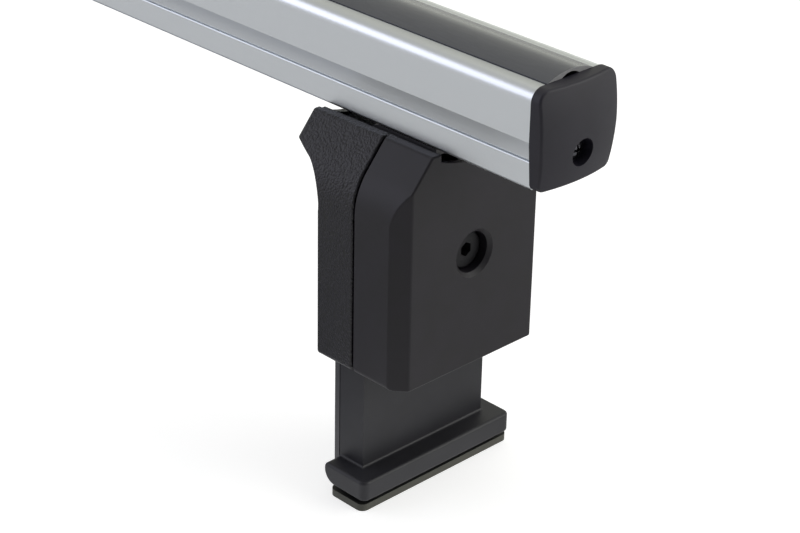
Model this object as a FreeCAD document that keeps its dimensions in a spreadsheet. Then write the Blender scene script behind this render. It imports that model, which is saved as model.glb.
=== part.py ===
"""Roof rack crossbar: an aluminium bar carried by two moulded feet on bent steel brackets.

X runs along the bar, Y across it and Z up. The floor under the rubber pads is Z = 0, and X = 0 is
the middle of the bar. The foot at the +X end is drawn piece by piece, and the other is its mirror.
"""
import FreeCAD, Part
import os
import Sketcher

os.makedirs("parts", exist_ok=True)
doc = FreeCAD.newDocument("roof_rack_crossbar")

SIZES = [
    ("bar_length", 1350.0, "length of the aluminium bar"),
    ("bar_width", 45.0, "width across the upper flanks"),
    ("bar_height", 44.0, "height of the section"),
    ("bar_wall", 2.4, "outer wall of the section"),
    ("bar_web", 2.0, "inner webs of the section"),
    ("bar_corner", 5.5, "radius of the upper corners"),
    ("bar_heel", 1.5, "radius of the lower corners"),
    ("band_top", 22.7, "from the top face down to the start of the waist"),
    ("band_end", 31.2, "from the top face down to the groove line"),
    ("band_depth", 2.2, "how far the waist draws in"),
    ("band_bow", 0.2, "how far its slope is hollowed"),
    ("line_width", 0.6, "width of the groove line"),
    ("line_depth", 1.1, "depth of the groove line behind the waist"),
    ("ledge", 0.6, "step from the waist back out to the lower flank"),
    ("ledge_round", 0.5, "radius of the edge of that step"),
    ("slot_opening", 14.0, "mouth of the upper T-slot"),
    ("slot_width", 24.0, "inside width of the upper T-slot"),
    ("slot_lip", 2.8, "thickness of its lips"),
    ("slot_depth", 8.0, "inside height of the upper T-slot"),
    ("channel_opening", 11.0, "mouth of the lower bolt channel"),
    ("channel_width", 20.0, "inside width of the lower bolt channel"),
    ("channel_lip", 2.8, "thickness of its lips"),
    ("channel_depth", 7.0, "inside height of the lower bolt channel"),
    ("screw_port", 2.1, "radius of the port for the cap screw"),
    ("port_wall", 1.9, "wall round that port"),
    ("strip_width", 27.0, "width of the infill strip"),
    ("strip_seat", 0.6, "depth of the shallow seat of the strip in the top face"),
    ("strip_gap", 0.45, "open line between the strip and the side of that seat"),
    ("strip_crown", 3.35, "height of its crown above the bar"),
    ("strip_edge", 1.1, "thickness at its edges"),
    ("strip_hollow", 2.1, "height of the hollow under the crown"),
    ("strip_leg", 1.1, "thickness of its two legs"),
    ("strip_reach", 5.6, "how far the legs reach into the slot"),
    ("strip_barb", 0.9, "how far the barbs catch under the lips"),
    ("snap_gap", 0.15, "clearance of the snapped strip in the slot"),
    ("cap_lap", 0.5, "how far the end cap stands proud of the bar"),
    ("cap_middle", 9.4, "thickness of the end cap at its middle"),
    ("cap_crown", 96.0, "radius of its crowned front"),
    ("cap_heel", 3.5, "radius of its lower corners"),
    ("cap_edge", 1.3, "radius round its front"),
    ("cap_taper", 1.6, "how far its flanks draw in at the bottom"),
    ("cap_floor", 3.0, "floor left under the screw head"),
    ("cap_bore", 12.3, "diameter of the counterbore"),
    ("cap_screw_rise", 13.7, "height of the cap screw above the underside of the bar"),
    ("lug_length", 8.0, "length of the cap's locating lugs"),
    ("lug_height", 14.0, "height of those lugs"),
    ("lug_gap", 12.0, "space between them"),
    ("cap_screw_shank", 4.1, "diameter of the cap screw"),
    ("cap_screw_head", 9.4, "diameter of its head"),
    ("cap_screw_crown", 3.2, "height of its head"),
    ("cap_screw_rim", 1.4, "straight rim of that head"),
    ("cross_length", 5.2, "length of its cross recess"),
    ("cross_width", 1.2, "width of the recess"),
    ("cross_depth", 1.9, "depth of the recess"),
    ("cap_screw_length", 22.0, "length under its head"),
    ("fit", 0.3, "clearance of pieces that slide or slip together"),
    ("rack_height", 175.5, "floor to the underside of the bar"),
    ("foot_offset", 49.0, "end of the bar to the front of the foot cover"),
    ("cover_depth", 29.0, "depth of the outer cover along the bar"),
    ("seam", 1.0, "open joint between cover and inner shell"),
    ("seam_round", 0.9, "radius of the edges beside that joint"),
    ("shell_depth", 21.7, "depth of the inner shell below its flare"),
    ("flare_reach", 22.3, "how far the flare stands inboard of the shell"),
    ("flare_drop", 37.5, "from the bar down to where the flare leaves the back of the shell"),
    ("hollow_run", 2.5, "how far inboard the middle of its hollow lies"),
    ("hollow_rise", 13.2, "how far above the start of the flare that point lies"),
    ("break_drop", 16.5, "from the bar down to where the hollow turns into the straight underside"),
    ("flare_run", 10.0, "how far inboard that point lies"),
    ("tip_drop", 11.1, "from the bar down to the lower tip of the flare"),
    ("rim_drop", 0.3, "fall of the shell's rim out to the tip"),
    ("rim_round", 2.0, "radius along the rim and round the end of the flare"),
    ("tower_base", 67.0, "floor to the bottom of the shells"),
    ("rim_gap", 0.2, "space between the bar and the rim of the shells"),
    ("leg_side_gap", 3.4, "space between the leg and the wall of the shells at each side"),
    ("top_width", 54.4, "width of the shells at the rim"),
    ("shoulder_drop", 20.7, "from the rim down to where the flank and the lean would meet"),
    ("shoulder_radius", 30.0, "radius that blends them"),
    ("shell_wall", 3.2, "wall of the two shells"),
    ("tongue_length", 4.0, "overlap of the shells behind the seam"),
    ("tongue_wall", 1.3, "thickness of that tongue"),
    ("tongue_gap", 0.2, "clearance round it"),
    ("tower_heel", 3.0, "radius of the lower corners of the shells"),
    ("cover_edge", 0.9, "radius round the front of the cover"),
    ("chamfer_depth", 7.3, "front chamfer along the bar"),
    ("chamfer_width", 6.4, "front chamfer across the bar"),
    ("chamfer_round", 1.8, "radius of its upright edges"),
    ("brow_width", 44.6, "width of the arched cut under the bar"),
    ("brow_side", 3.5, "depth of that cut at its ends"),
    ("brow_middle", 8.0, "depth of that cut at its middle"),
    ("arch_width", 50.0, "width of the like cut in the end of the flare"),
    ("arch_side", 1.1, "depth of it at its ends"),
    ("arch_middle", 7.2, "depth of it at its middle"),
    ("screw_drop", 53.6, "from the bar down to the cover screw"),
    ("screw_bore", 19.2, "diameter of the bore in the cover"),
    ("screw_flare", 22.8, "diameter of the chamfer at its mouth"),
    ("screw_recess", 5.3, "screw head behind the front of the cover"),
    ("boss_wall", 2.8, "wall of the boss round the bore"),
    ("screw_size", 10.0, "nominal size of the cover screw"),
    ("screw_head", 18.0, "diameter of its low head"),
    ("screw_head_height", 6.0, "height of that head"),
    ("screw_hex", 6.0, "key size of its socket"),
    ("screw_hex_depth", 4.0, "depth of that socket"),
    ("screw_edge", 1.0, "rounding of its head and chamfer of its tip"),
    ("thread_play", 0.05, "play of a screw in the plain bore of its nut"),
    ("washer_width", 18.6, "diameter of its washer"),
    ("washer_thick", 2.0, "thickness of its washer"),
    ("nut_flats", 16.0, "key size of the weld nut"),
    ("nut_height", 8.0, "height of the weld nut"),
    ("screw_clearance", 0.3, "radial clearance of the screw in its holes"),
    ("leg_front", 28.3, "front of the leg behind the front of the cover"),
    ("leg_depth", 15.4, "depth of the moulded leg along the bar"),
    ("leg_width", 76.4, "width of the leg across the bar"),
    ("leg_wall", 2.6, "wall of the moulded leg"),
    ("leg_drop", 35.5, "from the bar down to the top of the moulded leg"),
    ("leg_slit", 0.7, "slit between the leg and the steel web"),
    ("leg_passage", 0.5, "space round the leg where it enters the shells"),
    ("rib_thick", 2.2, "thickness of the ribs inside the leg"),
    ("rib_spacing", 36.0, "space between the two upright ribs"),
    ("rib_pitch", 27.0, "space between the cross ribs"),
    ("plate", 3.0, "thickness of the steel bracket"),
    ("bend", 8.0, "outer radius of its bends"),
    ("steel_inset", 0.2, "sides of the bracket inside the sides of the leg"),
    ("saddle_width", 40.0, "width of its upper flange"),
    ("saddle_length", 42.0, "length of its upper flange"),
    ("neck_foot_drop", 29.5, "from the bar down to where the web starts to narrow"),
    ("neck_drop", 9.5, "from the bar down to where it has narrowed"),
    ("toe_length", 27.0, "length of its lower flange"),
    ("boot_side", 9.3, "boot beyond the leg at each side"),
    ("boot_toe", 10.6, "boot in front of the leg"),
    ("boot_length", 26.9, "length of the boot along the bar"),
    ("boot_top", 15.5, "floor to the top of the boot"),
    ("boot_gap", 1.7, "shadow gap between boot and pad"),
    ("boot_round", 1.6, "radius of the boot's upper edges"),
    ("boot_back_round", 2.8, "radius of its upper edge at the back"),
    ("boot_corner", 3.5, "radius of its upright corners"),
    ("boot_heel", 7.0, "radius of its lower inboard edge"),
    ("leg_root", 1.2, "radius where the leg meets the boot"),
    ("pad_thick", 3.5, "thickness of the rubber pad"),
    ("pad_length", 21.9, "length of the pad along the bar"),
    ("pad_inset", 1.1, "front of the pad behind the front of the boot"),
    ("pad_corner", 3.5, "radius of the pad's corners"),
    ("stud_edge", 8.0, "fixing inserts in from the sides of the bracket"),
    ("stud_inset", 11.0, "fixing inserts behind the front of the pad"),
    ("stud_bore", 6.8, "bore of the inserts"),
    ("stud_hole", 9.0, "holes in the pad"),
    ("insert_neck", 10.9, "neck of the insert in the steel"),
    ("insert_head", 14.0, "collar of the insert above the steel"),
    ("insert_height", 5.5, "height of that collar"),
    ("bolt_size", 8.0, "nominal size of the T-bolts"),
    ("bolt_front", 9.5, "first T-bolt behind the front of the saddle"),
    ("bolt_pitch", 15.6, "space between the two T-bolts"),
    ("bolt_head_length", 13.0, "T-head along the bar"),
    ("bolt_head_height", 4.5, "height of the T-head"),
    ("bolt_tail", 3.0, "bolt below its nut"),
    ("bolt_washer", 14.6, "diameter of the T-bolt washers"),
    ("bolt_washer_thick", 1.6, "their thickness"),
    ("bolt_nut_flats", 13.0, "key size of the T-bolt nuts"),
    ("bolt_nut_height", 6.5, "their height"),
    ("overcut", 2.0, "how far a cut runs on past the material"),
]

# Sizes that follow others, so that the foot stays under the bar and the shells stay round the leg
FOLLOWING = [
    ("tower_top", "rack_height - rim_gap", "height of the rim of the shells"),
    ("tower_width", "leg_width + 2 * (leg_side_gap + shell_wall)", "width of the shells"),
    ("shoulder_height", "tower_top - shoulder_drop", "height where the flank and the lean would meet"),
    ("flare_start", "rack_height - flare_drop", "height where the flare leaves the back of the shell"),
    ("flare_break", "rack_height - break_drop", "height where its hollow ends"),
    ("flare_tip", "rack_height - tip_drop", "height of the lower tip of the flare"),
    ("screw_height", "rack_height - screw_drop", "height of the cover screw"),
    ("leg_top", "rack_height - leg_drop", "height of the top of the moulded leg"),
    ("bracket_width", "leg_width - 2 * steel_inset", "width of the bracket"),
    ("stud_spacing", "bracket_width - 2 * stud_edge", "space between the two fixing inserts"),
    ("neck_foot", "rack_height - neck_foot_drop", "height where the web starts to narrow"),
    ("neck_top", "rack_height - neck_drop", "height where it has narrowed"),
    ("boot_width", "leg_width + 2 * boot_side", "width of the moulded boot"),
    ("lean", "atan((tower_width - top_width) / 2 / shoulder_drop)", "tilt of the lean"),
]

# How near a corner of an edge must lie to the place that picks it
NEAR = 0.02

dim = doc.addObject("Spreadsheet::Sheet", "dim")
for row, (alias, number, meaning) in enumerate(SIZES, start=1):
    dim.set("A%d" % row, meaning)
    dim.set("B%d" % row, str(number))
    dim.setAlias("B%d" % row, alias)
for row, (alias, formula, meaning) in enumerate(FOLLOWING, start=len(SIZES) + 1):
    dim.set("A%d" % row, meaning)
    dim.set("B%d" % row, "=" + formula)
    dim.setAlias("B%d" % row, alias)
    doc.recompute()

# Places that several pieces share
BAR_END = "dim.bar_length / 2"
BAR_TOP = "(dim.rack_height + dim.bar_height)"
BAR_HALF = "dim.bar_width / 2"
STRIP_SEAT = "(dim.rack_height + dim.bar_height - dim.strip_seat)"
WAIST_HALF = "(dim.bar_width / 2 - dim.band_depth)"
HEEL_HALF = "(dim.bar_width / 2 - dim.band_depth + dim.ledge)"
CHANNEL_ROOF = "(dim.rack_height + dim.channel_lip + dim.channel_depth + dim.bar_web)"
CHAMBER_HALF = "(dim.bar_width / 2 - dim.band_depth - dim.line_depth - dim.bar_web)"
CAP_SCREW = "(dim.rack_height + dim.cap_screw_rise)"
PLATE_BACK = "(dim.foot_offset + dim.leg_front + dim.leg_depth + dim.leg_slit + dim.plate)"
PLATE_FRONT = "(dim.foot_offset + dim.leg_front + dim.leg_depth + dim.leg_slit)"
LEG_FRONT = "(dim.foot_offset + dim.leg_front)"
LEG_BACK = "(dim.foot_offset + dim.leg_front + dim.leg_depth)"
SPLIT = "(dim.foot_offset + dim.cover_depth)"
SHELL_FRONT = "(dim.foot_offset + dim.cover_depth + dim.seam)"
SHELL_BACK = "(dim.foot_offset + dim.cover_depth + dim.seam + dim.shell_depth)"
TOE_TOP = "(dim.pad_thick + dim.plate)"
BOOT_FOOT = "(dim.pad_thick + dim.boot_gap)"
BOOT_FRONT = "(dim.foot_offset + dim.leg_front - dim.boot_toe)"
PAD_FRONT = "(dim.foot_offset + dim.leg_front - dim.boot_toe + dim.pad_inset)"
STUD_PLACE = "(dim.foot_offset + dim.leg_front - dim.boot_toe + dim.pad_inset + dim.stud_inset)"
SADDLE_TOP = "(dim.rack_height - dim.fit)"
SADDLE_FOOT = "(dim.rack_height - dim.fit - dim.plate)"
BOLT_PLACE = "(%s - dim.saddle_length + dim.bolt_front)" % PLATE_BACK
BOLT_X = "%s - %s" % (BAR_END, BOLT_PLACE)

pieces = []


def value(expression):
    """The number that a formula of the sheet's sizes gives."""
    return float(dim.evalExpression(expression.replace("dim.", "")))


def minus(expression):
    return "-(%s)" % expression


def both_sides(right):
    """A profile symmetric about the middle, from its right half listed upwards."""
    left = [(minus(corner[0]),) + tuple(corner[1:]) for corner in reversed(right)]
    return list(right) + left


def new_body(name, kept=True):
    body = doc.addObject("PartDesign::Body", name)
    body.Label = name
    if kept:
        pieces.append(body)
    return body


def sketch_on(body, name, role, out="0", along="0", up="0"):
    """A sketch on one of the body's planes, moved out along its normal and within the plane."""
    sketch = body.newObject("Sketcher::SketchObject", name)
    plane = next(item for item in body.Origin.OriginFeatures if item.Role == role)
    sketch.AttachmentSupport = [(plane, "")]
    sketch.MapMode = "FlatFace"
    sketch.setExpression("AttachmentOffset.Base.x", along)
    sketch.setExpression("AttachmentOffset.Base.y", up)
    sketch.setExpression("AttachmentOffset.Base.z", out)
    return sketch


def pin_point(sketch, geometry, end, corner):
    """Hold one point at the two formulas of a corner."""
    for kind, formula in (("DistanceX", corner[0]), ("DistanceY", corner[1])):
        held = Sketcher.Constraint(kind, -1, 1, geometry, end, value(formula))
        index = sketch.addConstraint(held)
        sketch.setExpression("Constraints[%d]" % index, formula)


def outline(sketch, corners):
    """Close a profile through its corners; one marked "via" is the middle of an arc."""
    def spot(corner):
        return FreeCAD.Vector(value(corner[0]), value(corner[1]), 0)

    sides = []
    index = 0
    count = len(corners)
    while index < count:
        here = corners[index]
        following = corners[(index + 1) % count]
        if len(following) == 3:
            last = corners[(index + 2) % count]
            first_step = spot(following) - spot(here)
            turned = first_step.cross(spot(last) - spot(following)).z < 0
            ends = (spot(last), spot(here)) if turned else (spot(here), spot(last))
            geometry = sketch.addGeometry(Part.Arc(ends[0], spot(following), ends[1]))
            middle = sketch.addGeometry(Part.Point(spot(following)), True)
            sketch.addConstraint(Sketcher.Constraint("PointOnObject", middle, 1, geometry))
            pin_point(sketch, middle, 1, following)
            sides.append((geometry, 2, 1, here) if turned else (geometry, 1, 2, here))
            index += 2
        else:
            geometry = sketch.addGeometry(Part.LineSegment(spot(here), spot(following)))
            sides.append((geometry, 1, 2, here))
            index += 1
    for side, following in zip(sides, sides[1:] + sides[:1]):
        sketch.addConstraint(Sketcher.Constraint("Coincident", side[0], side[2], following[0], following[1]))
        pin_point(sketch, side[0], side[1], side[3])


def circle(sketch, across, up, diameter):
    radius = value(diameter) / 2
    centre = FreeCAD.Vector(value(across), value(up), 0)
    geometry = sketch.addGeometry(Part.Circle(centre, FreeCAD.Vector(0, 0, 1), radius))
    pin_point(sketch, geometry, 3, (across, up))
    index = sketch.addConstraint(Sketcher.Constraint("Diameter", geometry, 2 * radius))
    sketch.setExpression("Constraints[%d]" % index, diameter)


def rectangle(sketch, low_x, high_x, low_y, high_y):
    outline(sketch, [(low_x, low_y), (high_x, low_y), (high_x, high_y), (low_x, high_y)])


def hexagon(sketch, across, up, flats):
    """A hexagon with two upright flats."""
    corners = []
    for turn in range(6):
        reach = "(%s) / sqrt(3)" % flats
        angle = 60 * turn + 30
        corners.append(("%s + %s * cos(%d)" % (across, reach, angle),
                        "%s + %s * sin(%d)" % (up, reach, angle)))
    outline(sketch, corners)


def extend(body, kind, name, sketch, length, side="One side", turned=False):
    """Pad or pocket a sketch, and check that it changed the solid the right way."""
    before = body.Shape.Volume if body.Tip else 0.0
    feature = body.newObject("PartDesign::%s" % kind, name)
    feature.Profile = sketch
    feature.setExpression("Length", length)
    feature.SideType = side
    feature.Reversed = turned
    doc.recompute()
    grown = body.Shape.Volume - before
    if (kind == "Pad" and grown <= 0) or (kind == "Pocket" and grown >= 0):
        raise RuntimeError("%s of %s changed the volume by %.3f" % (name, body.Label, grown))
    return feature


def pad(body, name, sketch, length, side="One side", turned=False):
    return extend(body, "Pad", name, sketch, length, side, turned)


def pocket(body, name, sketch, length, side="One side", turned=False):
    return extend(body, "Pocket", name, sketch, length, side, turned)


def turn(body, kind, name, sketch):
    """Revolve or groove a sketch about its own horizontal axis."""
    feature = body.newObject("PartDesign::%s" % kind, name)
    feature.Profile = sketch
    feature.ReferenceAxis = (sketch, ["H_Axis"])
    feature.Angle = 360
    doc.recompute()
    return feature


def lies_on(x=None, y=None, z=None):
    """A test for an edge whose ends and middle all lie at the given places, Y taken either side."""
    def near(point):
        return ((x is None or abs(point.x - x) < NEAR)
                and (y is None or abs(abs(point.y) - abs(y)) < NEAR)
                and (z is None or abs(point.z - z) < NEAR))

    def test(edge):
        middle = edge.valueAt((edge.FirstParameter + edge.LastParameter) / 2)
        return near(middle) and all(near(vertex.Point) for vertex in edge.Vertexes)
    return test


def round_edges(body, name, radius, *tests):
    """Round every edge that one of the tests picks."""
    base = body.Tip
    picked = ["Edge%d" % number for number, edge in enumerate(base.Shape.Edges, start=1)
              if any(test(edge) for test in tests)]
    if not picked:
        raise RuntimeError("%s of %s finds no edge" % (name, body.Label))
    feature = body.newObject("PartDesign::Fillet", name)
    feature.Base = (base, picked)
    feature.setExpression("Radius", radius)
    doc.recompute()
    return feature


def hollow_out(body, name, core):
    """Cut the space that another body fills out of this one."""
    boolean = body.newObject("PartDesign::Boolean", name)
    boolean.Type = "Cut"
    boolean.setObjects([core])
    doc.recompute()


def make_bar():
    """The extruded section: T-slot above, bolt channel below, a chamber and a screw port between."""
    body = new_body("bar_extrusion")
    profile = sketch_on(body, "bar_section", "YZ_Plane", out=minus(BAR_END))
    groove_foot = "%s - dim.band_end - dim.line_width" % BAR_TOP
    right = [
        ("dim.channel_width / 2", "dim.rack_height + dim.channel_lip + dim.channel_depth"),
        ("dim.channel_width / 2", "dim.rack_height + dim.channel_lip"),
        ("dim.channel_opening / 2", "dim.rack_height + dim.channel_lip"),
        ("dim.channel_opening / 2", "dim.rack_height"),
        (HEEL_HALF, "dim.rack_height"),
        (HEEL_HALF, groove_foot),
        ("%s - dim.line_depth" % WAIST_HALF, groove_foot),
        ("%s - dim.line_depth" % WAIST_HALF, "%s - dim.band_end" % BAR_TOP),
        (WAIST_HALF, "%s - dim.band_end" % BAR_TOP),
        ("%s + dim.band_depth / 2 - dim.band_bow" % WAIST_HALF,
         "%s - (dim.band_end + dim.band_top) / 2" % BAR_TOP, "via"),
        (BAR_HALF, "%s - dim.band_top" % BAR_TOP),
        (BAR_HALF, BAR_TOP),
        ("dim.strip_width / 2 + dim.strip_gap", BAR_TOP),
        ("dim.strip_width / 2 + dim.strip_gap", STRIP_SEAT),
        ("dim.slot_opening / 2", STRIP_SEAT),
        ("dim.slot_opening / 2", "%s - dim.slot_lip" % BAR_TOP),
        ("dim.slot_width / 2", "%s - dim.slot_lip" % BAR_TOP),
        ("dim.slot_width / 2", "%s - dim.slot_lip - dim.slot_depth" % BAR_TOP),
    ]
    outline(profile, both_sides(right))
    port = "(dim.screw_port + dim.port_wall)"
    port_foot = "sqrt(%s^2 - (%s - %s)^2)" % (port, CAP_SCREW, CHANNEL_ROOF)
    chamber = [
        (port_foot, CHANNEL_ROOF),
        ("dim.channel_width / 2 + dim.bar_web", CHANNEL_ROOF),
        ("dim.channel_width / 2 + dim.bar_web", "dim.rack_height + dim.bar_wall"),
        (CHAMBER_HALF, "dim.rack_height + dim.bar_wall"),
        (CHAMBER_HALF, "%s - dim.band_top - dim.bar_wall" % BAR_TOP),
        ("%s - dim.bar_wall" % BAR_HALF, "%s - dim.band_top" % BAR_TOP),
        ("%s - dim.bar_wall" % BAR_HALF, "%s - dim.bar_corner" % BAR_TOP),
        ("%s - dim.bar_corner" % BAR_HALF, "%s - dim.bar_wall" % BAR_TOP),
        ("dim.slot_width / 2 + dim.bar_web", "%s - dim.bar_wall" % BAR_TOP),
        ("dim.slot_width / 2 + dim.bar_web", "%s - dim.slot_lip - dim.slot_depth - dim.bar_web" % BAR_TOP),
    ]
    crest = [("0", "%s + %s" % (CAP_SCREW, port), "via")]
    outline(profile, both_sides(chamber) + crest)
    circle(profile, "0", CAP_SCREW, "2 * dim.screw_port")
    pad(body, "extrusion", profile, "dim.bar_length")
    round_edges(body, "upper_corners", "dim.bar_corner",
                lies_on(y=value(BAR_HALF), z=value(BAR_TOP)))
    round_edges(body, "lower_corners", "dim.bar_heel",
                lies_on(y=value(HEEL_HALF), z=value("dim.rack_height")))
    round_edges(body, "ledge_edges", "dim.ledge_round", lies_on(y=value(HEEL_HALF), z=value(groove_foot)))


def make_strip():
    """The infill strip: a low arch with two barbed legs snapped into the T-slot."""
    body = new_body("slot_strip")
    profile = sketch_on(body, "strip_section", "YZ_Plane", out=minus(BAR_END))
    leg_out = "(dim.slot_opening / 2 - dim.snap_gap)"
    leg_in = "(dim.slot_opening / 2 - dim.snap_gap - dim.strip_leg)"
    under_lip = "%s - dim.slot_lip - dim.snap_gap" % BAR_TOP
    right = [
        (leg_in, BAR_TOP),
        (leg_in, "%s - dim.strip_reach" % BAR_TOP),
        (leg_out, "%s - dim.strip_reach" % BAR_TOP),
        ("%s + dim.strip_barb" % leg_out, under_lip),
        (leg_out, under_lip),
        (leg_out, STRIP_SEAT),
        ("dim.strip_width / 2", STRIP_SEAT),
        ("dim.strip_width / 2", "%s + dim.strip_edge" % STRIP_SEAT),
    ]
    crown = [("0", "%s + dim.strip_crown" % BAR_TOP, "via")]
    hollow = [("0", "%s + dim.strip_hollow" % BAR_TOP, "via")]
    left = both_sides(right)[len(right):]
    outline(profile, right + crown + left + hollow)
    pad(body, "strip", profile, "dim.bar_length")


def make_end_cap():
    """The pillow-fronted end cap, located by two lugs in the chamber and held by one screw."""
    body = new_body("right_end_cap")
    top = "%s + dim.cap_lap" % BAR_TOP
    foot = "dim.rack_height"
    side = "%s + dim.cap_lap" % BAR_HALF
    low_side = "%s + dim.cap_lap - dim.cap_taper" % BAR_HALF
    profile = sketch_on(body, "cap_outline", "YZ_Plane", out=BAR_END)
    right = [
        (low_side, foot),
        (side, "%s - dim.band_top" % BAR_TOP),
        (side, top),
    ]
    outline(profile, both_sides(right))
    pad(body, "cap_block", profile, "dim.cap_middle + dim.overcut")
    centre = "dim.rack_height + dim.bar_height / 2"
    crown = sketch_on(body, "crown_profile", "XZ_Plane", along=BAR_END, up=centre)
    reach = "dim.bar_width"

    def crown_at(radius):
        return "dim.cap_middle - dim.cap_crown + sqrt(dim.cap_crown^2 - (%s)^2)" % radius

    outline(crown, [
        ("dim.cap_middle", "0"),
        (crown_at(reach + " / 2"), reach + " / 2", "via"),
        (crown_at(reach), reach),
        ("dim.cap_middle + 2 * dim.overcut", reach),
        ("dim.cap_middle + 2 * dim.overcut", "0"),
    ])
    turn(body, "Groove", "crowned_front", crown)
    round_edges(body, "cap_upper_corners", "dim.bar_corner + dim.cap_lap",
                lies_on(y=value(side), z=value(top)))
    round_edges(body, "cap_lower_corners", "dim.cap_heel", lies_on(y=value(low_side), z=value(foot)))
    front = max(body.Tip.Shape.Faces, key=lambda face: face.CenterOfMass.x)

    def borders_front(edge):
        return any(edge.isSame(other) for other in front.Edges)
    round_edges(body, "cap_front_edge", "dim.cap_edge", borders_front)
    bore = sketch_on(body, "cap_counterbore", "YZ_Plane", out="%s + dim.cap_floor" % BAR_END)
    circle(bore, "0", CAP_SCREW, "dim.cap_bore")
    pocket(body, "counterbore", bore, "dim.cap_middle", turned=True)
    hole = sketch_on(body, "cap_hole", "YZ_Plane", out=BAR_END)
    circle(hole, "0", CAP_SCREW, "dim.cap_screw_shank + 2 * dim.fit")
    pocket(body, "screw_hole", hole, "dim.cap_floor + dim.overcut", turned=True)
    lugs = sketch_on(body, "lug_outlines", "YZ_Plane", out=BAR_END)
    lug_foot = "%s + dim.fit" % CHANNEL_ROOF
    for sign in ("", "-"):
        outline(lugs, [
            ("%sdim.lug_gap / 2" % sign, lug_foot),
            ("%s(%s - dim.fit)" % (sign, CHAMBER_HALF), lug_foot),
            ("%s(%s - dim.fit)" % (sign, CHAMBER_HALF), "%s + dim.lug_height" % lug_foot),
            ("%sdim.lug_gap / 2" % sign, "%s + dim.lug_height" % lug_foot),
        ])
    pad(body, "lugs", lugs, "dim.lug_length", turned=True)


def make_cap_screw():
    """A pan head screw with a cross recess, driven into the port of the bar."""
    body = new_body("right_cap_screw")
    seat = "%s + dim.cap_floor" % BAR_END
    rise = "(dim.cap_screw_crown - dim.cap_screw_rim)"
    dome = "((%s^2 + (dim.cap_screw_head / 2)^2) / 2 / %s)" % (rise, rise)
    profile = sketch_on(body, "cap_screw_profile", "XZ_Plane", along=seat, up=CAP_SCREW)
    outline(profile, [
        ("-dim.cap_screw_length", "0"),
        ("-dim.cap_screw_length", "dim.cap_screw_shank / 4"),
        ("-dim.cap_screw_length + dim.cap_screw_shank / 2", "dim.cap_screw_shank / 2"),
        ("0", "dim.cap_screw_shank / 2"),
        ("0", "dim.cap_screw_head / 2"),
        ("dim.cap_screw_rim", "dim.cap_screw_head / 2"),
        ("dim.cap_screw_crown - %s + sqrt(%s^2 - (dim.cap_screw_head / 4)^2)" % (dome, dome),
         "dim.cap_screw_head / 4", "via"),
        ("dim.cap_screw_crown", "0"),
    ])
    turn(body, "Revolution", "screw", profile)
    for name, wide, tall in (("cross_a", "dim.cross_width", "dim.cross_length"),
                             ("cross_b", "dim.cross_length", "dim.cross_width")):
        slot = sketch_on(body, name, "YZ_Plane", out="%s + dim.cap_screw_crown" % seat, up=CAP_SCREW)
        rectangle(slot, "-%s / 2" % wide, "%s / 2" % wide, "-%s / 2" % tall, "%s / 2" % tall)
        pocket(body, name + "_cut", slot, "dim.cross_depth")


def tower_outline(inset, base, top):
    """The end view of the shells, drawn in by a wall: upright flanks, a shoulder arc and a lean."""
    centre_y = "(dim.tower_width / 2 - dim.shoulder_radius)"
    centre_z = "(dim.shoulder_height - dim.shoulder_radius * tan(dim.lean / 2))"
    radius = "(dim.shoulder_radius - %s)" % inset
    arc_y = "%s + %s * cos(dim.lean)" % (centre_y, radius)
    arc_z = "%s + %s * sin(dim.lean)" % (centre_z, radius)
    return both_sides([
        ("dim.tower_width / 2 - %s" % inset, base),
        ("dim.tower_width / 2 - %s" % inset, centre_z),
        ("%s + %s * cos(dim.lean / 2)" % (centre_y, radius),
         "%s + %s * sin(dim.lean / 2)" % (centre_z, radius), "via"),
        (arc_y, arc_z),
        ("%s - (%s - (%s)) * tan(dim.lean)" % (arc_y, top, arc_z), top),
    ])


def cover_block(body, name, inset):
    """The outer cover as a solid, drawn in by a wall on every side but the seam and the rim."""
    top = "dim.tower_top" if inset == "0" else "(dim.tower_top + dim.overcut)"
    profile = sketch_on(body, name + "_outline", "YZ_Plane", out="%s - %s" % (BAR_END, SPLIT))
    outline(profile, tower_outline(inset, "dim.tower_base + %s" % inset, top))
    pad(body, name + "_block", profile, "dim.cover_depth - %s" % inset)
    above = "dim.tower_top + 2 * dim.overcut"
    corners = sketch_on(body, name + "_chamfers", "XY_Plane", out=above, along=BAR_END)
    slant = "sqrt(dim.chamfer_depth^2 + dim.chamfer_width^2)"
    shift = "(%s * %s / dim.chamfer_width)" % (inset, slant)
    rear = "-dim.foot_offset - 2 * dim.chamfer_depth - %s" % shift
    ahead = "-dim.foot_offset + dim.chamfer_depth - %s" % shift
    for sign in ("", "-"):
        wide = "%s(dim.tower_width / 2 + dim.chamfer_width)" % sign
        narrow = "%s(dim.tower_width / 2 - 2 * dim.chamfer_width)" % sign
        outline(corners, [(rear, wide), (ahead, narrow), (ahead, wide)])
    pocket(body, name + "_chamfer_cut", corners, "dim.tower_top + 2 * dim.overcut")


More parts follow.
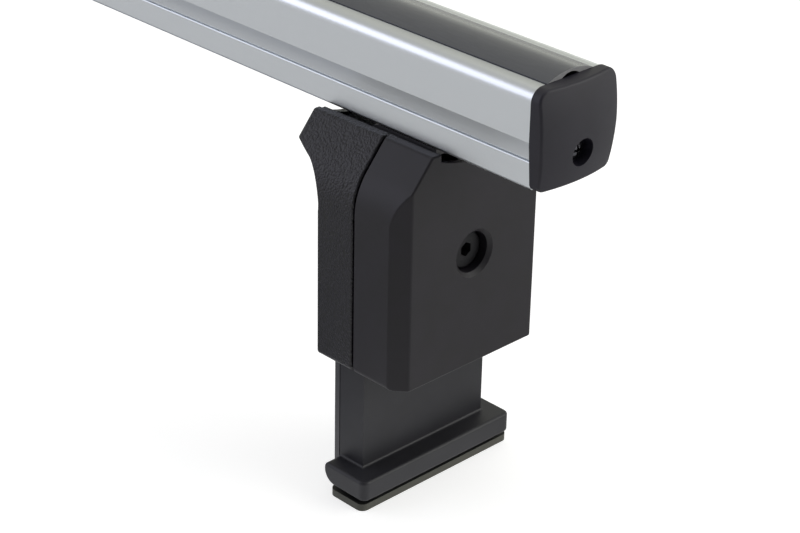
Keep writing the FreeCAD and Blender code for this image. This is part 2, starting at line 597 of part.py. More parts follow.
def make_outer_cover():
    """The smooth outer cover: a shell with chamfered front corners and a deep bore for its screw."""
    core = new_body("cover_core", kept=False)
    cover_block(core, "cover_core", "dim.shell_wall")
    rebate = sketch_on(core, "rebate_outline", "YZ_Plane", out="%s - %s" % (BAR_END, SPLIT))
    depth = "(dim.shell_wall - dim.tongue_wall - dim.tongue_gap)"
    outline(rebate, tower_outline(depth, "dim.tower_base + %s" % depth, "(dim.tower_top + dim.overcut)"))
    pad(core, "rebate", rebate, "dim.tongue_length + dim.tongue_gap")
    body = new_body("right_outer_cover")
    cover_block(body, "cover", "0")
    base = value("dim.tower_base")
    round_edges(body, "cover_heels", "dim.tower_heel", lies_on(y=value("dim.tower_width / 2"), z=base))
    front = "%s - dim.foot_offset" % BAR_END
    back = "%s - %s" % (BAR_END, SPLIT)
    round_edges(body, "cover_rim", "dim.rim_round", along_rim)
    narrow = value("dim.tower_width / 2 - dim.chamfer_width")
    round_edges(body, "chamfer_fronts", "dim.chamfer_round", lies_on(x=value(front), y=narrow))
    round_edges(body, "cover_front_edge", "dim.cover_edge", lies_on(x=value(front)))
    round_edges(body, "cover_seam_edge", "dim.seam_round", lies_on(x=value(back)))
    hollow_out(body, "cover_hollow", core)
    boss = sketch_on(body, "boss_outline", "YZ_Plane", out="%s - %s" % (BAR_END, LEG_FRONT))
    circle(boss, "0", "dim.screw_height", "dim.screw_bore + 2 * dim.boss_wall")
    pad(body, "boss", boss, "dim.leg_front - dim.shell_wall / 2")
    bore = sketch_on(body, "bore_profile", "XZ_Plane", along=front, up="dim.screw_height")
    seat = "-(dim.screw_recess + dim.screw_head_height + dim.washer_thick)"
    mouth = "(dim.screw_flare - dim.screw_bore) / 2"
    outline(bore, [
        ("dim.overcut", "0"),
        ("dim.overcut", "dim.screw_flare / 2 + dim.overcut"),
        (minus(mouth), "dim.screw_bore / 2"),
        (seat, "dim.screw_bore / 2"),
        (seat, "dim.screw_size / 2 + dim.screw_clearance"),
        ("-dim.leg_front - dim.overcut", "dim.screw_size / 2 + dim.screw_clearance"),
        ("-dim.leg_front - dim.overcut", "0"),
    ])
    turn(body, "Groove", "screw_bore", bore)
    arch_cut(body, "brow", "%s - dim.foot_offset + dim.overcut" % BAR_END,
             "dim.brow_width", "dim.brow_side", "dim.brow_middle", "dim.shell_wall + 2 * dim.overcut")
    passage = sketch_on(body, "cover_passage", "XY_Plane", out="dim.tower_base - dim.overcut", along=BAR_END)
    rectangle(passage, "-%s - dim.overcut" % SPLIT, "-%s + dim.leg_passage" % LEG_FRONT,
              "-dim.leg_width / 2 - dim.leg_passage", "dim.leg_width / 2 + dim.leg_passage")
    pocket(body, "leg_passage", passage, "dim.shell_wall + 2 * dim.overcut", turned=True)


def along_rim(edge):
    """Whether an edge of a shell runs inboard along one side of its rim."""
    ends = [vertex.Point for vertex in edge.Vertexes]
    return (abs(ends[0].x - ends[-1].x) > value("dim.shell_wall")
            and min(end.z for end in ends) > value("dim.tower_top - dim.rim_drop") - NEAR
            and abs(ends[0].y - ends[-1].y) < value("dim.rim_drop / tan(dim.lean)") + NEAR)


def arch_cut(body, name, out, width, side, middle, depth):
    """Cut a shallow arch into the top of a wall that crosses under the bar."""
    arch = sketch_on(body, name + "_outline", "YZ_Plane", out=out)
    outline(arch, [
        ("%s / 2" % width, "dim.tower_top + dim.overcut"),
        ("-%s / 2" % width, "dim.tower_top + dim.overcut"),
        ("-%s / 2" % width, "dim.tower_top - %s" % side),
        ("0", "dim.tower_top - %s" % middle, "via"),
        ("%s / 2" % width, "dim.tower_top - %s" % side),
    ])
    pocket(body, name, arch, depth)


def shell_block(body, name, inset):
    """The inner shell as a solid, drawn in by a wall: the tower outline run inboard into its flare."""
    solid = inset == "0"
    base = "dim.tower_base + %s" % inset
    top = "dim.tower_top" if solid else "(dim.tower_top + dim.overcut)"
    ahead = "0" if solid else "dim.tongue_length + dim.seam + dim.overcut"
    back = "(%s + dim.flare_reach - %s)" % (SHELL_BACK, inset)
    profile = sketch_on(body, name + "_outline", "YZ_Plane", out="%s - %s" % (BAR_END, back))
    outline(profile, tower_outline(inset, base, top))
    pad(body, name + "_block", profile, "dim.shell_depth + dim.flare_reach - %s + %s" % (inset, ahead))
    under = sketch_on(body, name + "_underside", "XZ_Plane", along=BAR_END)
    wall_x = "-%s + %s" % (SHELL_BACK, inset)
    far_x = "-%s - dim.overcut" % back
    outline(under, [
        (wall_x, "%s - dim.overcut" % base),
        (wall_x, "dim.flare_start + %s / 2" % inset),
        ("%s - dim.hollow_run" % wall_x, "dim.flare_start + dim.hollow_rise + %s" % inset, "via"),
        ("%s - dim.flare_run" % wall_x, "dim.flare_break + %s" % inset),
        ("-%s" % back, "dim.flare_tip + %s" % inset),
        (far_x, "dim.flare_tip + %s" % inset),
        (far_x, "%s - dim.overcut" % base),
    ])
    pocket(body, name + "_underside_cut", under, "dim.tower_width + dim.overcut", side="Symmetric")
    if solid:
        rim = sketch_on(body, name + "_rim", "XZ_Plane", along=BAR_END)
        outline(rim, [
            ("-%s" % SHELL_FRONT, "dim.tower_top"),
            ("-%s" % SHELL_FRONT, "dim.tower_top + dim.overcut"),
            ("-%s - dim.overcut" % back, "dim.tower_top + dim.overcut"),
            ("-%s - dim.overcut" % back, "dim.tower_top - dim.rim_drop"),
            ("-%s" % back, "dim.tower_top - dim.rim_drop"),
        ])
        pocket(body, name + "_rim_cut", rim, "dim.tower_width + dim.overcut", side="Symmetric")


def make_inner_shell():
    """The grained inner shell: an open hopper that flares inboard, with a tongue behind the seam."""
    core = new_body("shell_core", kept=False)
    shell_block(core, "shell_core", "dim.shell_wall")
    body = new_body("right_inner_shell")
    shell_block(body, "shell", "0")
    tip_x = value("%s - %s - dim.flare_reach" % (BAR_END, SHELL_BACK))
    round_edges(body, "rim_and_end", "dim.rim_round", lies_on(x=tip_x), along_rim)
    round_edges(body, "shell_heels", "dim.tower_heel",
                lies_on(y=value("dim.tower_width / 2"), z=value("dim.tower_base")))
    round_edges(body, "shell_seam_edge", "dim.seam_round",
                lies_on(x=value("%s - %s" % (BAR_END, SHELL_FRONT))))
    tongue = sketch_on(body, "tongue_outline", "YZ_Plane", out="%s - %s" % (BAR_END, SHELL_FRONT))
    inset = "(dim.shell_wall - dim.tongue_wall)"
    outline(tongue, tower_outline(inset, "dim.tower_base + %s" % inset, "dim.tower_top"))
    pad(body, "tongue", tongue, "dim.tongue_length + dim.seam")
    hollow_out(body, "shell_hollow", core)
    passage = sketch_on(body, "shell_passage", "XY_Plane", out="dim.tower_base - dim.overcut", along=BAR_END)
    rectangle(passage, "-%s - dim.leg_passage" % PLATE_BACK, "-%s + dim.tongue_length + dim.overcut" % SPLIT,
              "-dim.leg_width / 2 - dim.leg_passage", "dim.leg_width / 2 + dim.leg_passage")
    pocket(body, "leg_passage", passage, "dim.shell_wall + 2 * dim.overcut", turned=True)
    rest = sketch_on(body, "rest_outline", "YZ_Plane", out="%s - %s" % (BAR_END, PLATE_BACK))
    rectangle(rest, "-dim.nut_flats", "dim.nut_flats", "dim.screw_height - dim.nut_flats",
              "dim.screw_height + dim.nut_flats")
    pad(body, "rest", rest, "%s - %s - dim.shell_wall / 2" % (SHELL_BACK, PLATE_BACK), turned=True)
    arch_cut(body, "arch", "%s - %s - dim.flare_reach + dim.shell_wall" % (BAR_END, SHELL_BACK),
             "dim.arch_width", "dim.arch_side", "dim.arch_middle", "dim.shell_wall + dim.overcut")


def make_bracket():
    """One strip of steel bent into a C: toe under the boot, web up the leg, saddle under the bar."""
    body = new_body("right_bracket")
    profile = sketch_on(body, "bracket_profile", "XZ_Plane", along=BAR_END)
    saddle_front = "-%s + dim.saddle_length" % PLATE_BACK
    toe_front = "-%s + dim.toe_length" % PLATE_BACK
    outline(profile, [
        (toe_front, "dim.pad_thick"),
        (toe_front, TOE_TOP),
        ("-%s" % PLATE_FRONT, TOE_TOP),
        ("-%s" % PLATE_FRONT, SADDLE_FOOT),
        (saddle_front, SADDLE_FOOT),
        (saddle_front, SADDLE_TOP),
        ("-%s" % PLATE_BACK, SADDLE_TOP),
        ("-%s" % PLATE_BACK, "dim.pad_thick"),
    ])
    pad(body, "strip", profile, "dim.bracket_width", side="Symmetric")
    back = value("%s - %s" % (BAR_END, PLATE_BACK))
    front = value("%s - %s" % (BAR_END, PLATE_FRONT))
    round_edges(body, "outer_bends", "dim.bend", lies_on(x=back, z=value("dim.pad_thick")),
                lies_on(x=back, z=value(SADDLE_TOP)))
    round_edges(body, "inner_bends", "dim.bend - dim.plate", lies_on(x=front, z=value(TOE_TOP)),
                lies_on(x=front, z=value(SADDLE_FOOT)))
    sides = sketch_on(body, "neck_outline", "YZ_Plane", out="%s - %s - dim.overcut" % (BAR_END, PLATE_BACK))
    for sign in ("", "-"):
        outline(sides, [
            ("%s(dim.bracket_width / 2 + dim.overcut)" % sign, "dim.neck_foot"),
            ("%sdim.bracket_width / 2" % sign, "dim.neck_foot"),
            ("%sdim.saddle_width / 2" % sign, "dim.neck_top"),
            ("%sdim.saddle_width / 2" % sign, "dim.rack_height + dim.overcut"),
            ("%s(dim.bracket_width / 2 + dim.overcut)" % sign, "dim.rack_height + dim.overcut"),
        ])
    pocket(body, "neck", sides, "dim.saddle_length + 2 * dim.overcut", turned=True)
    screw = sketch_on(body, "web_hole", "YZ_Plane", out="%s - %s - dim.overcut" % (BAR_END, PLATE_BACK))
    circle(screw, "0", "dim.screw_height", "dim.screw_size + 2 * dim.screw_clearance")
    pocket(body, "screw_hole", screw, "dim.plate + 2 * dim.overcut", turned=True)
    bolts = sketch_on(body, "saddle_holes", "XY_Plane", out="dim.rack_height + dim.overcut", along=BAR_END)
    for place in (BOLT_PLACE, "(%s + dim.bolt_pitch)" % BOLT_PLACE):
        circle(bolts, "-%s" % place, "0", "dim.bolt_size + 2 * dim.fit")
    pocket(body, "bolt_holes", bolts, "dim.plate + 2 * dim.overcut")
    studs = sketch_on(body, "toe_holes", "XY_Plane", out="%s + dim.overcut" % TOE_TOP, along=BAR_END)
    for sign in ("", "-"):
        circle(studs, "-%s" % STUD_PLACE, "%sdim.stud_spacing / 2" % sign, "dim.insert_neck")
    pocket(body, "insert_holes", studs, "dim.plate + 2 * dim.overcut")


def make_leg_boot():
    """The moulded leg and its boot in one piece, open and ribbed behind, against the steel web."""
    body = new_body("right_leg_boot")
    boot = sketch_on(body, "boot_profile", "XZ_Plane", along=BAR_END)
    boot_back = "(%s + dim.boot_length)" % BOOT_FRONT
    rectangle(boot, "-%s" % boot_back, "-%s" % BOOT_FRONT, BOOT_FOOT, "dim.boot_top")
    pad(body, "boot", boot, "dim.boot_width", side="Symmetric")
    front = value("%s - %s" % (BAR_END, BOOT_FRONT))
    back = value("%s - %s" % (BAR_END, boot_back))
    half = value("dim.boot_width / 2")
    top = value("dim.boot_top")
    round_edges(body, "boot_corners", "dim.boot_corner", lies_on(x=front, y=half))
    round_edges(body, "boot_heel", "dim.boot_heel", lies_on(x=back, z=value(BOOT_FOOT)))
    round_edges(body, "boot_back_edge", "dim.boot_back_round", lies_on(x=back, z=top))
    round_edges(body, "boot_shoulders", "dim.boot_round", lies_on(z=top))
    sleeve = sketch_on(body, "leg_outline", "XY_Plane", out="dim.boot_top - dim.boot_round", along=BAR_END)
    rectangle(sleeve, "-%s" % LEG_BACK, "-%s" % LEG_FRONT, "-dim.leg_width / 2", "dim.leg_width / 2")
    pad(body, "leg", sleeve, "dim.leg_top - dim.boot_top + dim.boot_round")
    leg_x = value("%s - %s" % (BAR_END, LEG_FRONT))
    round_edges(body, "leg_root", "dim.leg_root",
                lies_on(x=leg_x, z=top), lies_on(y=value("dim.leg_width / 2"), z=top))
    behind = "%s - %s - dim.overcut" % (BAR_END, LEG_BACK)
    hollow = sketch_on(body, "leg_hollow_outline", "YZ_Plane", out=behind)
    rectangle(hollow, "-dim.leg_width / 2 + dim.leg_wall", "dim.leg_width / 2 - dim.leg_wall",
              "dim.boot_top + dim.leg_wall", "dim.leg_top - dim.leg_wall")
    pocket(body, "leg_hollow", hollow, "dim.leg_depth - dim.leg_wall + dim.overcut", turned=True)
    ribs = sketch_on(body, "upright_ribs", "YZ_Plane", out="%s - %s" % (BAR_END, LEG_BACK))
    for sign in ("", "-"):
        middle = "%sdim.rib_spacing / 2" % sign
        rectangle(ribs, "%s - dim.rib_thick / 2" % middle, "%s + dim.rib_thick / 2" % middle,
                  "dim.boot_top + dim.leg_wall / 2", "dim.leg_top - dim.leg_wall / 2")
    pad(body, "ribs", ribs, "dim.leg_depth - dim.leg_wall / 2")
    count = int(value("(dim.screw_height - dim.nut_flats - dim.boot_top - dim.leg_wall) / dim.rib_pitch"))
    for step in range(count):
        cross = sketch_on(body, "cross_rib_%d" % (step + 1), "YZ_Plane", out="%s - %s" % (BAR_END, LEG_BACK))
        level = "dim.boot_top + dim.leg_wall + %d * dim.rib_pitch" % (step + 1)
        rectangle(cross, "-dim.leg_width / 2 + dim.leg_wall / 2", "dim.leg_width / 2 - dim.leg_wall / 2",
                  "%s - dim.rib_thick / 2" % level, "%s + dim.rib_thick / 2" % level)
        pad(body, "cross_rib_pad_%d" % (step + 1), cross, "dim.leg_depth - dim.leg_wall / 2")
    boss = sketch_on(body, "nut_boss", "YZ_Plane", out="%s - %s" % (BAR_END, PLATE_FRONT))
    circle(boss, "0", "dim.screw_height", "dim.nut_flats * 2 / sqrt(3) + 2 * dim.boss_wall + 2 * dim.fit")
    pad(body, "boss", boss, "dim.leg_depth + dim.leg_slit - dim.leg_wall / 2")
    nut = sketch_on(body, "nut_pocket", "YZ_Plane", out="%s - %s" % (BAR_END, PLATE_FRONT))
    hexagon(nut, "0", "dim.screw_height", "dim.nut_flats + 2 * dim.fit")
    pocket(body, "nut_seat", nut, "dim.nut_height + dim.fit", turned=True)
    hole = sketch_on(body, "leg_hole", "YZ_Plane", out="%s - %s" % (BAR_END, PLATE_FRONT))
    circle(hole, "0", "dim.screw_height", "dim.screw_size + 2 * dim.screw_clearance")
    pocket(body, "screw_hole", hole, "dim.leg_depth + dim.leg_slit + dim.overcut", turned=True)
    steel = sketch_on(body, "steel_space", "XZ_Plane", along=BAR_END)
    inner = "(dim.bend - dim.plate)"
    slot_front = "-%s + dim.toe_length + dim.fit" % PLATE_BACK
    web_x = "-%s" % PLATE_FRONT
    outline(steel, [
        (slot_front, "%s - dim.overcut" % BOOT_FOOT),
        (slot_front, TOE_TOP),
        ("%s + %s" % (web_x, inner), TOE_TOP),
        ("%s + %s * (1 - sqrt(0.5))" % (web_x, inner), "%s + %s * (1 - sqrt(0.5))" % (TOE_TOP, inner), "via"),
        (web_x, "%s + %s" % (TOE_TOP, inner)),
        (web_x, "dim.boot_top + dim.overcut"),
        ("-%s - dim.overcut" % PLATE_BACK, "dim.boot_top + dim.overcut"),
        ("-%s - dim.overcut" % PLATE_BACK, "%s - dim.overcut" % BOOT_FOOT),
    ])
    pocket(body, "steel_slot", steel, "dim.bracket_width + 2 * dim.fit", side="Symmetric")
    wells = sketch_on(body, "insert_wells", "XY_Plane", out="%s - dim.overcut" % BOOT_FOOT, along=BAR_END)
    for sign in ("", "-"):
        circle(wells, "-%s" % STUD_PLACE, "%sdim.stud_spacing / 2" % sign, "dim.insert_head + 2 * dim.fit")
    roof = "%s + dim.insert_height + dim.fit" % TOE_TOP
    pocket(body, "insert_space", wells, "%s - %s + dim.overcut" % (roof, BOOT_FOOT), turned=True)


def make_pad():
    """The rubber pad under the boot, with holes for the fixing bolts."""
    body = new_body("right_base_pad")
    profile = sketch_on(body, "pad_outline", "XY_Plane", along=BAR_END)
    pad_back = "(%s + dim.pad_length)" % PAD_FRONT
    rectangle(profile, "-%s" % pad_back, "-%s" % PAD_FRONT, "-dim.boot_width / 2", "dim.boot_width / 2")
    pad(body, "pad", profile, "dim.pad_thick")
    front = value("%s - %s" % (BAR_END, PAD_FRONT))
    back = value("%s - %s" % (BAR_END, pad_back))
    half = value("dim.boot_width / 2")
    round_edges(body, "pad_corners", "dim.pad_corner", lies_on(x=front, y=half), lies_on(x=back, y=half))
    holes = sketch_on(body, "pad_holes", "XY_Plane", out="dim.pad_thick + dim.overcut", along=BAR_END)
    for sign in ("", "-"):
        circle(holes, "-%s" % STUD_PLACE, "%sdim.stud_spacing / 2" % sign, "dim.stud_hole")
    pocket(body, "stud_holes", holes, "dim.pad_thick + 2 * dim.overcut")


def make_cover_screw():
    """The socket head screw that draws the cover, the leg and the web together."""
    body = new_body("right_cover_screw")
    head_back = "(dim.screw_recess + dim.screw_head_height)"
    tip = "(%s - dim.foot_offset - dim.fit)" % PLATE_BACK
    place = "%s - dim.foot_offset" % BAR_END
    profile = sketch_on(body, "screw_profile", "XZ_Plane", along=place, up="dim.screw_height")
    bite = "dim.screw_edge * (1 - sqrt(0.5))"
    outline(profile, [
        ("-dim.screw_recess", "0"),
        ("-dim.screw_recess", "dim.screw_head / 2 - dim.screw_edge"),
        ("-dim.screw_recess - %s" % bite, "dim.screw_head / 2 - %s" % bite, "via"),
        ("-dim.screw_recess - dim.screw_edge", "dim.screw_head / 2"),
        (minus(head_back), "dim.screw_head / 2"),
        (minus(head_back), "dim.screw_size / 2"),
        ("-%s + dim.screw_edge" % tip, "dim.screw_size / 2"),
        ("-%s" % tip, "dim.screw_size / 2 - dim.screw_edge"),
        ("-%s" % tip, "0"),
    ])
    turn(body, "Revolution", "screw", profile)
    socket = sketch_on(body, "socket_outline", "YZ_Plane", out="%s - dim.screw_recess" % place)
    hexagon(socket, "0", "dim.screw_height", "dim.screw_hex")
    pocket(body, "socket", socket, "dim.screw_hex_depth")


def make_cover_washer():
    body = new_body("right_cover_washer")
    back = "(dim.foot_offset + dim.screw_recess + dim.screw_head_height + dim.washer_thick)"
    ring = sketch_on(body, "ring_outline", "YZ_Plane", out="%s - %s" % (BAR_END, back))
    circle(ring, "0", "dim.screw_height", "dim.washer_width")
    circle(ring, "0", "dim.screw_height", "dim.screw_size + 2 * dim.screw_clearance")
    pad(body, "ring", ring, "dim.washer_thick")


def make_weld_nut():
    """The nut welded to the front of the web, inside the moulded leg."""
    body = new_body("right_weld_nut")
    nut = sketch_on(body, "nut_outline", "YZ_Plane", out="%s - %s" % (BAR_END, PLATE_FRONT))
    hexagon(nut, "0", "dim.screw_height", "dim.nut_flats")
    circle(nut, "0", "dim.screw_height", "dim.screw_size + 2 * dim.thread_play")
    pad(body, "nut", nut, "dim.nut_height")


def repeat_inboard(body, pitch, originals):
    """A second copy of some features, one pitch further from the front of the foot."""
    pattern = body.newObject("PartDesign::LinearPattern", "pair")
    pattern.Originals = originals
    axis = next(item for item in body.Origin.OriginFeatures if item.Role == "X_Axis")
    pattern.Direction = (axis, [""])
    pattern.Reversed = True
    pattern.setExpression("Length", pitch)
    pattern.Occurrences = 2
    body.Tip = pattern
    doc.recompute()


def make_t_bolts():
    """Two T-bolts that hang in the lower channel of the bar and clamp the saddle."""
    body = new_body("right_t_bolts")
    tail = "(%s - dim.bolt_washer_thick - dim.bolt_nut_height - dim.bolt_tail)" % SADDLE_FOOT
    head_foot = "(dim.rack_height + dim.channel_lip + dim.fit)"
    bolt = sketch_on(body, "bolt_outline", "XZ_Plane", along=BOLT_X)
    half = "dim.bolt_head_length / 2"
    rectangle(bolt, minus(half), half, head_foot, "%s + dim.bolt_head_height" % head_foot)
    head = pad(body, "t_head", bolt, "dim.channel_width - 2 * dim.fit", side="Symmetric")
    stem = sketch_on(body, "stem_outline", "XY_Plane", out=tail, along=BOLT_X)
    circle(stem, "0", "0", "dim.bolt_size")
    stem_pad = pad(body, "stem", stem, "%s - %s + dim.bolt_head_height / 2" % (head_foot, tail))
    repeat_inboard(body, "dim.bolt_pitch", [head, stem_pad])


def make_bolt_washers():
    body = new_body("right_bolt_washers")
    foot = "%s - dim.bolt_washer_thick" % SADDLE_FOOT
    ring = sketch_on(body, "ring_outline", "XY_Plane", out=foot, along=BOLT_X)
    circle(ring, "0", "0", "dim.bolt_washer")
    circle(ring, "0", "0", "dim.bolt_size + dim.fit")
    repeat_inboard(body, "dim.bolt_pitch", [pad(body, "ring", ring, "dim.bolt_washer_thick")])


def make_bolt_nuts():
    body = new_body("right_bolt_nuts")
    foot = "%s - dim.bolt_washer_thick - dim.bolt_nut_height" % SADDLE_FOOT
    nut = sketch_on(body, "nut_outline", "XY_Plane", out=foot, along=BOLT_X)
    hexagon(nut, "0", "0", "dim.bolt_nut_flats")
    circle(nut, "0", "0", "dim.bolt_size + 2 * dim.thread_play")
    repeat_inboard(body, "dim.bolt_pitch", [pad(body, "nut", nut, "dim.bolt_nut_height")])


def make_fixing_inserts():
    """Two threaded inserts pressed into the toe of the bracket."""
    body = new_body("right_fixing_inserts")
    collar = sketch_on(body, "collar_outline", "XY_Plane", out=TOE_TOP, along=BAR_END)
    neck = sketch_on(body, "neck_outline", "XY_Plane", out=TOE_TOP, along=BAR_END)
    bore = sketch_on(body, "bore_outline", "XY_Plane", out="dim.pad_thick - dim.overcut", along=BAR_END)
    for sign in ("", "-"):
        place = ("-%s" % STUD_PLACE, "%sdim.stud_spacing / 2" % sign)
        circle(collar, place[0], place[1], "dim.insert_head")
        circle(neck, place[0], place[1], "dim.insert_neck")
        circle(bore, place[0], place[1], "dim.stud_bore")
    pad(body, "collars", collar, "dim.insert_height")
    pad(body, "necks", neck, "dim.plate", turned=True)
    pocket(body, "bores", bore, "dim.plate + dim.insert_height + 2 * dim.overcut", turned=True)


def mirror_to_left(body):
    """The same piece at the other end of the bar."""
    twin = doc.addObject("Part::Mirroring", body.Name.replace("right_", "left_"))
    twin.Label = body.Label.replace("right_", "left_")
    twin.Source = body
    twin.Normal = FreeCAD.Vector(1, 0, 0)
    return twin


make_bar()
make_strip()
make_end_cap()
make_cap_screw()
make_inner_shell()
make_outer_cover()
make_leg_boot()
make_bracket()
make_pad()
make_cover_screw()
make_cover_washer()
make_weld_nut()
make_t_bolts()
make_bolt_washers()
make_bolt_nuts()
make_fixing_inserts()
pieces += [mirror_to_left(piece) for piece in pieces if piece.Label.startswith("right_")]
doc.recompute()

for item in doc.Objects:
    if "Invalid" in item.State or "Error" in item.State:
        raise RuntimeError("%s did not compute: %s" % (item.Label, item.State))
for piece in pieces:
    if piece.Shape.isNull() or not piece.Shape.isValid() or not piece.Shape.Solids:
        raise RuntimeError("%s has no valid solid" % piece.Label)
for piece in pieces:
    piece.Shape.exportStep("parts/%s.step" % piece.Label)
    print("%-24s %2d solids %10.1f mm3" % (piece.Label, len(piece.Shape.Solids), piece.Shape.Volume))
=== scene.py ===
# %% [markdown]
# # A roof rack crossbar, finished and lit
#
# The solids of this crossbar were built as a parametric model: an extruded aluminium bar, a snap-in strip
# in its upper slot, two end caps, and two feet made of moulded shells on bent steel brackets. This lesson
# gives each of them the finish of the real material and sets up a plain studio. We start by loading the
# solids, because everything else is placed from them.

# %% Load the solids
import math

import bpy
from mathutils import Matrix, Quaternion, Vector


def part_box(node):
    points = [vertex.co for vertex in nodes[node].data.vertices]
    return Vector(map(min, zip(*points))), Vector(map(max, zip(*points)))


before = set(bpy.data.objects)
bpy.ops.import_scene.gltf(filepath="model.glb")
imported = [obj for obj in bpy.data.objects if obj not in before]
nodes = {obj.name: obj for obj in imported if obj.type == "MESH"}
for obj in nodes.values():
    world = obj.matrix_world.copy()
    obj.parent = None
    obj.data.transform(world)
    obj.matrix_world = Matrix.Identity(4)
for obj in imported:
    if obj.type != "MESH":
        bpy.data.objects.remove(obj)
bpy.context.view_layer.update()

MILLIMETRE = 0.001

# %% [markdown]
# The solids arrive as triangles. Real rounded edges catch light in a smooth streak, so every face is
# shaded smooth and only the edges that turn by more than a set angle stay crisp. Splitting the mesh or
# bevelling it would also work, but would change the shape. This only changes how the light runs over it.
# Blender works out the smooth directions itself once those that came with the solids are dropped. A few
# triangles are slivers with no area worth the name, whose direction is chance, so they stay flat. Areas
# are in square metres here: the limit is a hundredth of a millimetre square.

# %% Shade the rounded edges smooth
CRISP_EDGE = math.radians(28)
SLIVER_AREA = (0.01 * MILLIMETRE) ** 2

for solid in nodes.values():
    mesh = solid.data
    if "custom_normal" in mesh.attributes:
        mesh.attributes.remove(mesh.attributes["custom_normal"])
    mesh.set_sharp_from_angle(angle=CRISP_EDGE)
    mesh.polygons.foreach_set("use_smooth", [face.area > SLIVER_AREA for face in mesh.polygons])
    mesh.update()
print("shaded", sum(len(solid.data.polygons) for solid in nodes.values()), "faces")

# %% [markdown]
# Colours are written as the hex values that a paint chart would give. The renderer works with linear
# light, so one function turns the first into the second. A second function adds a node, sets its options
# and fills its inputs, with a number or with another node's output. Everything else is built from those.

# %% Helpers for all finishes
def colour(hex_value):
    """The linear colour of an sRGB hex value, with full opacity."""
    channels = [int(hex_value[i:i + 2], 16) / 255 for i in (1, 3, 5)]
    return [c / 12.92 if c <= 0.04045 else ((c + 0.055) / 1.055) ** 2.4 for c in channels] + [1.0]


def add_node(tree, kind, options=None, inputs=None):
    """Add a node to a tree; an input, by name or number, gets a value or another node's output."""
    node = tree.nodes.new(kind)
    for name, value in (options or {}).items():
        setattr(node, name, value)
    for name, value in (inputs or {}).items():
        if isinstance(value, bpy.types.NodeSocket):
            tree.links.new(value, node.inputs[name])
        else:
            node.inputs[name].default_value = value
    return node


def new_finish(name):
    """An empty material and its node tree."""
    material = bpy.data.materials.new(name)
    material.use_nodes = True
    material.node_tree.nodes.clear()
    return material, material.node_tree


def pattern_place(tree, sizes_mm):
    """Object coordinates in which one unit is the given number of millimetres along X, Y and Z."""
    place = add_node(tree, "ShaderNodeTexCoord")
    scale = [1 / (size * MILLIMETRE) for size in sizes_mm]
    return add_node(tree, "ShaderNodeMapping", inputs={
        "Vector": place.outputs["Object"], "Scale": scale}).outputs[0]


print("white becomes", [round(c, 3) for c in colour("#FFFFFF")])

# %% [markdown]
# The bar is extruded aluminium, anodised to a satin silver. The die leaves faint lines along its length,
# and the etching before anodising blurs every reflection into soft bands. Stretched noise gives the lines.
# They are drawn half a millimetre wide, coarser than the real ones, so that they show. They move the
# surface by a few microns and change the roughness a little. Noise hardly ever leaves the middle of its
# range, so that middle is what is mapped. Metal keeps the default index of refraction.

# %% Anodised aluminium
NOISE_LOW, NOISE_HIGH = 0.3, 0.7
DIE_LINE_LENGTH = 220
DIE_LINE_WIDTH = 0.5
DIE_LINE_DEPTH = 0.02
DIE_LINE_STRENGTH = 0.10
SATIN_SMOOTHEST, SATIN_ROUGHEST = 0.33, 0.38

anodised_aluminium, tree = new_finish("anodised_aluminium")
die_lines = add_node(tree, "ShaderNodeTexNoise", inputs={
    "Vector": pattern_place(tree, (DIE_LINE_LENGTH, DIE_LINE_WIDTH, DIE_LINE_WIDTH)),
    "Scale": 1.0, "Detail": 3.0, "Roughness": 0.6})
line_roughness = add_node(tree, "ShaderNodeMapRange", inputs={
    "Value": die_lines.outputs[0], "From Min": NOISE_LOW, "From Max": NOISE_HIGH,
    "To Min": SATIN_SMOOTHEST, "To Max": SATIN_ROUGHEST})
line_relief = add_node(tree, "ShaderNodeBump", inputs={
    "Height": die_lines.outputs[0], "Strength": DIE_LINE_STRENGTH,
    "Distance": DIE_LINE_DEPTH * MILLIMETRE})
satin_metal = add_node(tree, "ShaderNodeBsdfPrincipled", inputs={
    "Base Color": colour("#DEE2E5"), "Metallic": 1.0,
    "Roughness": line_roughness.outputs[0], "Normal": line_relief.outputs[0]})
add_node(tree, "ShaderNodeOutputMaterial", inputs={"Surface": satin_metal.outputs[0]})
print("made", anodised_aluminium.name)

# %% [markdown]
# The shells, caps and legs are nylon filled with glass fibre, moulded in spark-eroded tools. The tool's
# skin prints a fine even mattness on the plastic. Its real marks are a tenth of a millimetre or less and
# are drawn about three times as wide, so that they show. Black nylon is really a dark grey that reflects
# about four per cent straight on, and the carbon pigment gives it a little violet. Two layers of noise
# stand for the spark marks and for the slow waviness of the moulding. One function makes the nylon of the
# covers, of the caps and of the legs, whose greys differ a little.

# %% Moulded nylon, smooth
NYLON_IOR = 1.48
NYLON_ROUGHNESS = 0.52
SPARK_GRIT = 0.35
SPARK_DEPTH = 0.05
SPARK_STRENGTH = 0.35
MOULD_WAVE = 14
WAVE_LOW, WAVE_HIGH = 0.35, 0.65


